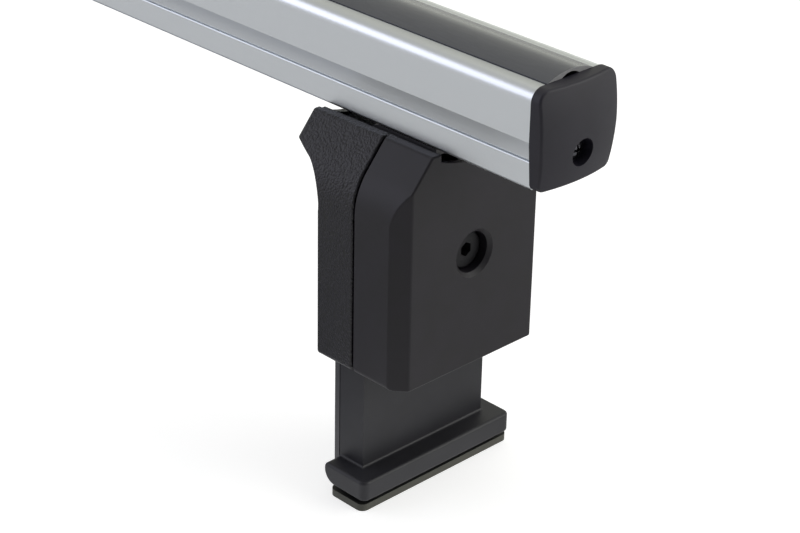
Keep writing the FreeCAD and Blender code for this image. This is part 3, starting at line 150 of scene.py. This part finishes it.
def make_smooth_nylon(name, light_hex, dark_hex):
    """Spark-eroded nylon whose grey wavers between two close colours."""
    nylon, tree = new_finish(name)
    spark_marks = add_node(tree, "ShaderNodeTexNoise", inputs={
        "Vector": pattern_place(tree, (SPARK_GRIT,) * 3), "Scale": 1.0, "Detail": 2.0})
    mould_wave = add_node(tree, "ShaderNodeTexNoise", inputs={
        "Vector": pattern_place(tree, (MOULD_WAVE,) * 3), "Scale": 1.0, "Detail": 1.0})
    tone = add_node(tree, "ShaderNodeValToRGB", inputs={"Fac": mould_wave.outputs[0]})
    dark_end, light_end = tone.color_ramp.elements
    dark_end.position, light_end.position = WAVE_LOW, WAVE_HIGH
    dark_end.color, light_end.color = colour(dark_hex), colour(light_hex)
    spark_relief = add_node(tree, "ShaderNodeBump", inputs={
        "Height": spark_marks.outputs[0], "Strength": SPARK_STRENGTH,
        "Distance": SPARK_DEPTH * MILLIMETRE})
    matt_plastic = add_node(tree, "ShaderNodeBsdfPrincipled", inputs={
        "Base Color": tone.outputs[0], "Roughness": NYLON_ROUGHNESS, "IOR": NYLON_IOR,
        "Normal": spark_relief.outputs[0]})
    add_node(tree, "ShaderNodeOutputMaterial", inputs={"Surface": matt_plastic.outputs[0]})
    return nylon


smooth_nylon = make_smooth_nylon("smooth_nylon", "#15111B", "#110E16")
cap_nylon = make_smooth_nylon("cap_nylon", "#1C1A26", "#181622")
leg_nylon = make_smooth_nylon("leg_nylon", "#222228", "#1E1E24")
print("made", [nylon.name for nylon in (smooth_nylon, cap_nylon, leg_nylon)])

# %% [markdown]
# The inner shells are the same nylon from a tool that was etched with a leather grain: rounded pebbles
# about a millimetre across. The creases between them are painted darker, as painted shade. Voronoi
# cells give the pebbles, and noise bends their outlines so that no two look alike. The relief is deep
# enough to break up the highlights.

# %% Moulded nylon, leather grain
GRAIN_ROUGHNESS = 0.45
PEBBLE = 1.05
PEBBLE_HEIGHT = 0.34
PEBBLE_ROUNDING = 0.6
PEBBLE_MIDDLE, PEBBLE_FOOT = 0.1, 0.8
CREASE_WANDER = 1.9
CREASE_BEND = 0.9

grained_nylon, tree = new_finish("grained_nylon")
wander = add_node(tree, "ShaderNodeTexNoise", inputs={
    "Vector": pattern_place(tree, (CREASE_WANDER,) * 3), "Scale": 1.0, "Detail": 2.0})
bent_place = add_node(tree, "ShaderNodeVectorMath", {"operation": "MULTIPLY_ADD"}, {
    0: wander.outputs["Color"], 1: (CREASE_BEND,) * 3, 2: pattern_place(tree, (PEBBLE,) * 3)})
pebbles = add_node(tree, "ShaderNodeTexVoronoi", {"feature": "SMOOTH_F1"}, {
    "Vector": bent_place.outputs[0], "Scale": 1.0, "Smoothness": PEBBLE_ROUNDING})
grain_and_crease_shade = add_node(tree, "ShaderNodeValToRGB", inputs={"Fac": pebbles.outputs["Distance"]})
pebble_end, crease_shade_end = grain_and_crease_shade.color_ramp.elements
pebble_end.position, crease_shade_end.position = PEBBLE_MIDDLE, PEBBLE_FOOT
# The crease colour is painted shade in the creases between the pebbles.
pebble_end.color, crease_shade_end.color = colour("#1B1823"), colour("#08080A")
grain_relief = add_node(tree, "ShaderNodeBump", {"invert": True}, {
    "Height": pebbles.outputs["Distance"], "Strength": 1.0, "Distance": PEBBLE_HEIGHT * MILLIMETRE})
grained_plastic = add_node(tree, "ShaderNodeBsdfPrincipled", inputs={
    "Base Color": grain_and_crease_shade.outputs[0], "Roughness": GRAIN_ROUGHNESS, "IOR": NYLON_IOR,
    "Normal": grain_relief.outputs[0]})
add_node(tree, "ShaderNodeOutputMaterial", inputs={"Surface": grained_plastic.outputs[0]})
print("made", grained_nylon.name)

# %% [markdown]
# The strip over the slot is a soft thermoplastic rubber, extruded like the bar. It is grey rather than
# black and a little glossy, because it leaves a polished die. The pad under each boot is plain EPDM
# rubber: dark, with a greenish cast and no gloss. Each is one colour with a fine bloom, drawn coarser
# than it is so that it shows. Both are also made in a second tone. The strip's is paler, for its sawn
# ends, and is partly painted light on those shaded ends. The pads' is near black: painted shade for
# their top and underside.

# %% Two rubbers
RUBBER_IOR = 1.5
BLOOM_LENGTH = 6.4
BLOOM_WIDTH = 0.8
BLOOM_STRENGTH = 0.2


def make_rubber(name, light_hex, dark_hex, roughness, bloom_depth_mm):
    """A rubber with a fine bloom between two close colours."""
    rubber, tree = new_finish(name)
    bloom = add_node(tree, "ShaderNodeTexNoise", inputs={
        "Vector": pattern_place(tree, (BLOOM_LENGTH, BLOOM_WIDTH, BLOOM_WIDTH)),
        "Scale": 1.0, "Detail": 3.0})
    tone = add_node(tree, "ShaderNodeValToRGB", inputs={"Fac": bloom.outputs[0]})
    dark_end, light_end = tone.color_ramp.elements
    dark_end.position, light_end.position = NOISE_LOW, NOISE_HIGH
    dark_end.color, light_end.color = colour(dark_hex), colour(light_hex)
    bloom_relief = add_node(tree, "ShaderNodeBump", inputs={
        "Height": bloom.outputs[0], "Strength": BLOOM_STRENGTH, "Distance": bloom_depth_mm * MILLIMETRE})
    soft_surface = add_node(tree, "ShaderNodeBsdfPrincipled", inputs={
        "Base Color": tone.outputs[0], "Roughness": roughness, "IOR": RUBBER_IOR,
        "Normal": bloom_relief.outputs[0]})
    add_node(tree, "ShaderNodeOutputMaterial", inputs={"Surface": soft_surface.outputs[0]})
    return rubber


strip_rubber = make_rubber("strip_rubber", "#57595E", "#525459", roughness=0.27, bloom_depth_mm=0.01)
# Paler sawn ends of the strip: cut rubber, and partly painted light on shaded faces.
strip_cut = make_rubber("strip_cut", "#8E8E91", "#868689", roughness=0.55, bloom_depth_mm=0.03)
pad_rubber = make_rubber("pad_rubber", "#575750", "#51514A", roughness=0.70, bloom_depth_mm=0.05)
# Near black for the pads' top and underside: painted shade.
pad_skin = make_rubber("pad_skin", "#141413", "#10100F", roughness=0.60, bloom_depth_mm=0.05)
print("made", [rubber.name for rubber in (strip_rubber, strip_cut, pad_rubber, pad_skin)])

# %% [markdown]
# The brackets are mild steel strip, bent cold and powder coated black. The coat is glossier than the
# nylon beside it, with the slight orange peel of baked powder, a few millimetres across.

# %% Powder-coated steel
COAT_IOR = 1.5
COAT_ROUGHNESS = 0.36
ORANGE_PEEL = 2.5
PEEL_DEPTH = 0.05
PEEL_STRENGTH = 0.2

powder_coat, tree = new_finish("powder_coat")
peel = add_node(tree, "ShaderNodeTexNoise", inputs={
    "Vector": pattern_place(tree, (ORANGE_PEEL,) * 3), "Scale": 1.0, "Detail": 1.0})
peel_relief = add_node(tree, "ShaderNodeBump", inputs={
    "Height": peel.outputs[0], "Strength": PEEL_STRENGTH, "Distance": PEEL_DEPTH * MILLIMETRE})
baked_powder = add_node(tree, "ShaderNodeBsdfPrincipled", inputs={
    "Base Color": colour("#464649"), "Roughness": COAT_ROUGHNESS, "IOR": COAT_IOR,
    "Normal": peel_relief.outputs[0]})
add_node(tree, "ShaderNodeOutputMaterial", inputs={"Surface": baked_powder.outputs[0]})
print("made", powder_coat.name)

# %% [markdown]
# The bolts, nuts, washers and inserts are steel with a bright zinc coat, which looks like a rough pale
# metal. Fine noise in the roughness stands for the spangle of the coat.

# %% Zinc-plated steel
ZINC_SPANGLE = 0.6
ZINC_SMOOTHEST, ZINC_ROUGHEST = 0.30, 0.42

zinc_plate, tree = new_finish("zinc_plate")
spangle = add_node(tree, "ShaderNodeTexNoise", inputs={
    "Vector": pattern_place(tree, (ZINC_SPANGLE,) * 3), "Scale": 1.0, "Detail": 2.0})
zinc_roughness = add_node(tree, "ShaderNodeMapRange", inputs={
    "Value": spangle.outputs[0], "From Min": NOISE_LOW, "From Max": NOISE_HIGH,
    "To Min": ZINC_SMOOTHEST, "To Max": ZINC_ROUGHEST})
pale_metal = add_node(tree, "ShaderNodeBsdfPrincipled", inputs={
    "Base Color": colour("#9A9A98"), "Metallic": 1.0, "Roughness": zinc_roughness.outputs[0]})
add_node(tree, "ShaderNodeOutputMaterial", inputs={"Surface": pale_metal.outputs[0]})
print("made", zinc_plate.name)

# %% [markdown]
# The big screw in the foot cover is blackened steel instead: it sits at the bottom of a dark well and only
# its face shows, as a dull dark grey disc round a black socket. The oxide hides part of the metal, so the
# finish is only partly metallic. The small screw in each end cap is plated with zinc that was then dipped
# black, which is smoother, so the edges of its cross glint in the hole.

# %% Blackened steel and black zinc
OXIDE_GRAIN = 0.6
OXIDE_METAL_SHARE = 0.6
OXIDE_SMOOTHEST, OXIDE_ROUGHEST = 0.38, 0.5
BLACK_ZINC_ROUGHNESS = 0.26

black_oxide, tree = new_finish("black_oxide")
oxide_grain = add_node(tree, "ShaderNodeTexNoise", inputs={
    "Vector": pattern_place(tree, (OXIDE_GRAIN,) * 3), "Scale": 1.0, "Detail": 2.0})
oxide_roughness = add_node(tree, "ShaderNodeMapRange", inputs={
    "Value": oxide_grain.outputs[0], "From Min": NOISE_LOW, "From Max": NOISE_HIGH,
    "To Min": OXIDE_SMOOTHEST, "To Max": OXIDE_ROUGHEST})
dull_black = add_node(tree, "ShaderNodeBsdfPrincipled", inputs={
    "Base Color": colour("#222225"), "Metallic": OXIDE_METAL_SHARE,
    "Roughness": oxide_roughness.outputs[0]})
add_node(tree, "ShaderNodeOutputMaterial", inputs={"Surface": dull_black.outputs[0]})

black_zinc, tree = new_finish("black_zinc")
glinting_black = add_node(tree, "ShaderNodeBsdfPrincipled", inputs={
    "Base Color": colour("#5A5A5F"), "Metallic": 1.0, "Roughness": BLACK_ZINC_ROUGHNESS})
add_node(tree, "ShaderNodeOutputMaterial", inputs={"Surface": glinting_black.outputs[0]})
print("made", black_oxide.name, "and", black_zinc.name)

# %% [markdown]
# Each piece now takes its finish. The names end alike on both feet, so a table from the ending of a name
# to a finish covers them all, and a piece that the table misses would stop the lesson here.

# %% Give every piece its finish
FINISH_OF = {
    "bar_extrusion": anodised_aluminium,
    "slot_strip": strip_rubber,
    "end_cap": cap_nylon,
    "inner_shell": grained_nylon,
    "outer_cover": smooth_nylon,
    "leg_boot": leg_nylon,
    "bracket": powder_coat,
    "base_pad": pad_rubber,
    "cap_screw": black_zinc,
    "cover_screw": black_oxide,
    "cover_washer": black_oxide,
    "weld_nut": zinc_plate,
    "t_bolts": zinc_plate,
    "bolt_washers": zinc_plate,
    "bolt_nuts": zinc_plate,
    "fixing_inserts": zinc_plate,
}


def plain_name(node_name):
    """The name of a piece without the side it is on."""
    return node_name.replace("right_", "").replace("left_", "")


for node_name, solid in nodes.items():
    solid.data.materials.clear()
    solid.data.materials.append(FINISH_OF[plain_name(node_name)])
print("finished", len(nodes), "pieces with", len(set(FINISH_OF.values())), "materials")

# %% [markdown]
# Rubber looks different where it was cut. The pads are die-cut from sheet: their rims are the dull green
# grey of the inside. Their top and underside are painted near black, as painted shade, which is what
# makes the line under each boot so dark. The strip's sawn ends are paler, as cut rubber is, and lighter
# still as painted light on those shaded ends. Each face that looks along a chosen axis takes the second
# material.

# %% Painted shade on the pads, painted light on the strip's cut ends
FACES_ALONG_AXIS = 0.95
X_AXIS, Z_AXIS = 0, 2
SECOND_FINISH_OF = {
    "right_base_pad": (Z_AXIS, pad_skin),
    "left_base_pad": (Z_AXIS, pad_skin),
    "slot_strip": (X_AXIS, strip_cut),
}

for node_name, (axis, finish) in SECOND_FINISH_OF.items():
    mesh = nodes[node_name].data
    mesh.materials.append(finish)
    chosen = [abs(face.normal[axis]) > FACES_ALONG_AXIS for face in mesh.polygons]
    mesh.polygons.foreach_set("material_index", [int(is_chosen) for is_chosen in chosen])
    print(node_name, "has", sum(chosen), "faces of", finish.name)

# %% [markdown]
# The studio is a white floor under a dome of soft light, with four soft boxes round it. The floor comes
# first: one large plane at the height on which the pads stand.

# %% The floor
FLOOR_HALF = 6.0

floor_mesh = bpy.data.meshes.new("studio_floor")
corners = [(-FLOOR_HALF, -FLOOR_HALF, 0), (FLOOR_HALF, -FLOOR_HALF, 0),
           (FLOOR_HALF, FLOOR_HALF, 0), (-FLOOR_HALF, FLOOR_HALF, 0)]
floor_mesh.from_pydata(corners, [], [(0, 1, 2, 3)])
floor = bpy.data.objects.new("studio_floor", floor_mesh)
bpy.context.scene.collection.objects.link(floor)
print("floor of", 2 * FLOOR_HALF, "m")

# %% [markdown]
# Satin metal shows what lies beside it, so the floor's tone sets the tone of the bar's flanks and of the
# feet. That tone is painted uneven, and only reflections see it: a strip of painted shade lies under the
# bar, and a painted pool of light lies round each foot. Two masks say where those places are. The first
# is a strip under the bar that ends short of the feet. The second is a disc round each foot, with its
# middle a little in front of the pad's. All lengths here are in metres.

# %% Places on the floor
SHADE_STARTS = 0.07
SHADE_ENDS = 0.17
SHADE_STOPS_SHORT = 0.10
FOOT_GLOW = 0.55
FOOT_GLOW_OFF_CENTRE = 0.03
FOOT_GLOW_FULL = 0.05
FOOT_GLOW_ENDS = 0.13

floor_paper, tree = new_finish("floor_paper")
floor_place = add_node(tree, "ShaderNodeTexCoord")
floor_axes = add_node(tree, "ShaderNodeSeparateXYZ", inputs={"Vector": floor_place.outputs["Object"]})
beside_bar = add_node(tree, "ShaderNodeMath", {"operation": "ABSOLUTE"}, {0: floor_axes.outputs["Y"]})
along_bar = add_node(tree, "ShaderNodeMath", {"operation": "ABSOLUTE"}, {0: floor_axes.outputs["X"]})
pad_low, pad_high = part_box("right_base_pad")
past_foot = add_node(tree, "ShaderNodeMath", {"operation": "SUBTRACT"}, {
    0: along_bar.outputs[0], 1: (pad_low.x + pad_high.x) / 2})
# A strip of painted shade under the bar, seen only in reflections.
under_bar = add_node(tree, "ShaderNodeMapRange", {"interpolation_type": "SMOOTHSTEP"}, {
    "Value": beside_bar.outputs[0], "From Min": SHADE_STARTS, "From Max": SHADE_ENDS,
    "To Min": 1.0, "To Max": 0.0})
between_feet = add_node(tree, "ShaderNodeMapRange", {"interpolation_type": "SMOOTHSTEP"}, {
    "Value": past_foot.outputs[0], "From Min": -SHADE_STOPS_SHORT, "From Max": 0.0,
    "To Min": 1.0, "To Max": 0.0})
bar_shade = add_node(tree, "ShaderNodeMath", {"operation": "MULTIPLY"}, {
    0: under_bar.outputs["Result"], 1: between_feet.outputs["Result"]})
left_of_foot = add_node(tree, "ShaderNodeMath", {"operation": "ADD"}, {
    0: floor_axes.outputs["Y"], 1: FOOT_GLOW_OFF_CENTRE})
from_foot = add_node(tree, "ShaderNodeCombineXYZ", inputs={
    "X": past_foot.outputs[0], "Y": left_of_foot.outputs[0]})
foot_distance = add_node(tree, "ShaderNodeVectorMath", {"operation": "LENGTH"}, {0: from_foot.outputs[0]})
# A painted pool of light round each foot, seen only in reflections.
painted_foot_glow = add_node(tree, "ShaderNodeMapRange", {"interpolation_type": "SMOOTHSTEP"}, {
    "Value": foot_distance.outputs["Value"], "From Min": FOOT_GLOW_FULL, "From Max": FOOT_GLOW_ENDS,
    "To Min": FOOT_GLOW, "To Max": 0.0})
print("the bar's shade reaches", SHADE_ENDS, "m to each side")

# %% [markdown]
# The paper itself is matt and nearly white, and carries the shadow of the crossbar. The two places count
# only where a surface mirrors the floor: there the strip under the bar turns a painted grey blue shade,
# the discs round the feet give a painted glow, and the open floor glows a little. The camera sees another
# glow, which lifts the paper to plain white. It grows far away, where the lamps no longer reach. Neither
# glow lights the crossbar.

# %% The floor's paper
GLOW_IN_GLOSS = 0.14
FLOOR_GLOW = 0.64
FLOOR_GLOW_AFAR = 1.0
AFAR_STARTS = 1.2
AFAR_FULL = 3.5

ray = add_node(tree, "ShaderNodeLightPath")
shade_in_gloss = add_node(tree, "ShaderNodeMath", {"operation": "MULTIPLY"}, {
    0: ray.outputs["Is Glossy Ray"], 1: bar_shade.outputs[0]})
# Painted shade: in reflections the paper turns grey blue under the bar.
paper_tone = add_node(tree, "ShaderNodeMix", {"data_type": "RGBA"}, {
    0: shade_in_gloss.outputs[0], 6: colour("#D3D3D3"), 7: colour("#8C909E")})
open_floor = add_node(tree, "ShaderNodeMath", {"operation": "MULTIPLY_ADD"}, {
    0: bar_shade.outputs[0], 1: -GLOW_IN_GLOSS, 2: GLOW_IN_GLOSS})
floor_glow = add_node(tree, "ShaderNodeMath", {"operation": "ADD"}, {
    0: open_floor.outputs[0], 1: painted_foot_glow.outputs["Result"]})
glow_in_gloss = add_node(tree, "ShaderNodeMath", {"operation": "MULTIPLY"}, {
    0: ray.outputs["Is Glossy Ray"], 1: floor_glow.outputs[0]})
from_middle = add_node(tree, "ShaderNodeVectorMath", {"operation": "LENGTH"}, {
    0: floor_place.outputs["Object"]})
glow_to_camera = add_node(tree, "ShaderNodeMapRange", {"interpolation_type": "SMOOTHSTEP"}, {
    "Value": from_middle.outputs["Value"], "From Min": AFAR_STARTS, "From Max": AFAR_FULL,
    "To Min": FLOOR_GLOW, "To Max": FLOOR_GLOW_AFAR})
glow_strength = add_node(tree, "ShaderNodeMath", {"operation": "MULTIPLY_ADD"}, {
    0: ray.outputs["Is Camera Ray"], 1: glow_to_camera.outputs["Result"], 2: glow_in_gloss.outputs[0]})
paper = add_node(tree, "ShaderNodeBsdfDiffuse", inputs={"Color": paper_tone.outputs[2]})
glow = add_node(tree, "ShaderNodeEmission", inputs={"Strength": glow_strength.outputs[0]})
glowing_paper = add_node(tree, "ShaderNodeAddShader", inputs={0: paper.outputs[0], 1: glow.outputs[0]})
add_node(tree, "ShaderNodeOutputMaterial", inputs={"Surface": glowing_paper.outputs[0]})
floor_mesh.materials.append(floor_paper)
print("made", floor_paper.name)

# %% [markdown]
# The dome is the light that comes from all sides, as from the walls of a white room. It is darker on the
# side from which the picture is taken, where a studio is open. That leaves the chamfer of the foot darker
# than the faces beside it. It is a little warmer on the opposite side, which tints the lips beside the
# strip. The camera itself sees plain white.

# %% The dome
DOME_LIGHT = 0.52
DOME_BEHIND_CAMERA = 0.15
CAMERA_SIDE = (0.71, -0.71, 0.0)
DARK_STARTS, DARK_FULL = 0.1, 0.9
WARM_STARTS, WARM_FULL = -0.2, -0.7

world = bpy.data.worlds.new("studio_dome")
bpy.context.scene.world = world
world.use_nodes = True
world.node_tree.nodes.clear()
tree = world.node_tree
ray = add_node(tree, "ShaderNodeLightPath")
direction = add_node(tree, "ShaderNodeTexCoord")
towards_camera = add_node(tree, "ShaderNodeVectorMath", {"operation": "DOT_PRODUCT"}, {
    0: direction.outputs["Generated"], 1: CAMERA_SIDE})
fade = add_node(tree, "ShaderNodeMapRange", {"interpolation_type": "SMOOTHSTEP"}, {
    "Value": towards_camera.outputs["Value"], "From Min": DARK_STARTS, "From Max": DARK_FULL,
    "To Min": DOME_LIGHT, "To Max": DOME_BEHIND_CAMERA})
warmth = add_node(tree, "ShaderNodeMapRange", {"interpolation_type": "SMOOTHSTEP"}, {
    "Value": towards_camera.outputs["Value"], "From Min": WARM_STARTS, "From Max": WARM_FULL,
    "To Min": 0.0, "To Max": 1.0})
dome_tone = add_node(tree, "ShaderNodeMix", {"data_type": "RGBA"}, {
    0: warmth.outputs["Result"], 6: colour("#FFFFFF"), 7: colour("#FFFEF2")})
soft_light = add_node(tree, "ShaderNodeBackground", inputs={
    "Color": dome_tone.outputs[2], "Strength": fade.outputs["Result"]})
plain_white = add_node(tree, "ShaderNodeBackground", inputs={"Color": colour("#FFFFFF"), "Strength": 1.0})
seen = add_node(tree, "ShaderNodeMixShader", inputs={
    0: ray.outputs["Is Camera Ray"], 1: soft_light.outputs[0], 2: plain_white.outputs[0]})
add_node(tree, "ShaderNodeOutputWorld", inputs={"Surface": seen.outputs[0]})
print("dome strength", DOME_LIGHT)

# %% [markdown]
# Four soft boxes shape the light. The left one is broad and stands beside the bar: it draws the bright
# streak along the bar's upper corner and lights the sides of the foot. The right one stands off the near
# end of the bar and lights the faces that look along it. The top one lights what faces up. The back one is
# long and low, and draws the bright band on the far slope of the strip. All of them face a point between
# the feet, under the bar. Their light is close to white: a little blue from the left, a little yellow
# from the right and from behind.

# %% The soft boxes
LAMPS_FACE = Vector((0.0, 0.0, 0.15))


def soft_box(name, towards, distance, width, height, watts, hex_value):
    """A rectangular lamp in a direction from the point that all lamps face."""
    lamp = bpy.data.lights.new(name, "AREA")
    lamp.shape = "RECTANGLE"
    lamp.size, lamp.size_y = width, height
    lamp.energy = watts
    lamp.color = colour(hex_value)[:3]
    box = bpy.data.objects.new(name, lamp)
    direction = Vector(towards).normalized()
    box.location = LAMPS_FACE + direction * distance
    box.rotation_mode = "QUATERNION"
    box.rotation_quaternion = direction.to_track_quat("Z", "Y")
    bpy.context.scene.collection.objects.link(box)
    return box


left_box = soft_box("left_box", towards=(-0.63, -0.69, 0.42), distance=3.0,
                    width=2.4, height=2.3, watts=24, hex_value="#EAECFF")
right_box = soft_box("right_box", towards=(0.80, 0.52, 0.30), distance=3.0,
                     width=2.4, height=1.6, watts=32, hex_value="#FFFFF8")
top_box = soft_box("top_box", towards=(0.15, 0.25, 1.0), distance=3.0,
                   width=2.6, height=1.8, watts=14, hex_value="#FFFFFF")
back_box = soft_box("back_box", towards=(-0.65, 0.72, 0.16), distance=3.2,
                    width=3.2, height=0.6, watts=7, hex_value="#FBFFF2")
print("lamps:", [box.name for box in (left_box, right_box, top_box, back_box)])

# %% [markdown]
# The camera stands to the right of the bar's near end, above it, and looks along it with a long lens, as
# product pictures are taken: a long lens keeps the section of the bar nearly true. Its place was worked
# out from the picture by fitting the known section of the bar, and the slight roll is the picture's own.

# %% The camera
LENS = 101.1
AZIMUTH = math.radians(45.35)
ELEVATION = math.radians(27.08)
ROLL = math.radians(1.17)
EYE_FROM_BAR_END = Vector((547.1, -634.1, 339.9)) * MILLIMETRE
CLIP_END = 50

bar_low, bar_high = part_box("bar_extrusion")
bar_end = Vector((bar_high.x, 0, bar_high.z))
camera = bpy.data.objects.new("camera", bpy.data.cameras.new("camera"))
camera.data.lens = LENS
camera.data.clip_end = CLIP_END
camera.location = bar_end + EYE_FROM_BAR_END
looking = Vector((-math.sin(AZIMUTH) * math.cos(ELEVATION),
                  math.cos(AZIMUTH) * math.cos(ELEVATION),
                  -math.sin(ELEVATION)))
camera.rotation_mode = "QUATERNION"
camera.rotation_quaternion = looking.to_track_quat("-Z", "Y") @ Quaternion((0, 0, 1), ROLL)
bpy.context.scene.collection.objects.link(camera)
bpy.context.scene.camera = camera
bpy.context.scene.view_settings.view_transform = "Standard"
print("camera at", [round(v, 3) for v in camera.location])
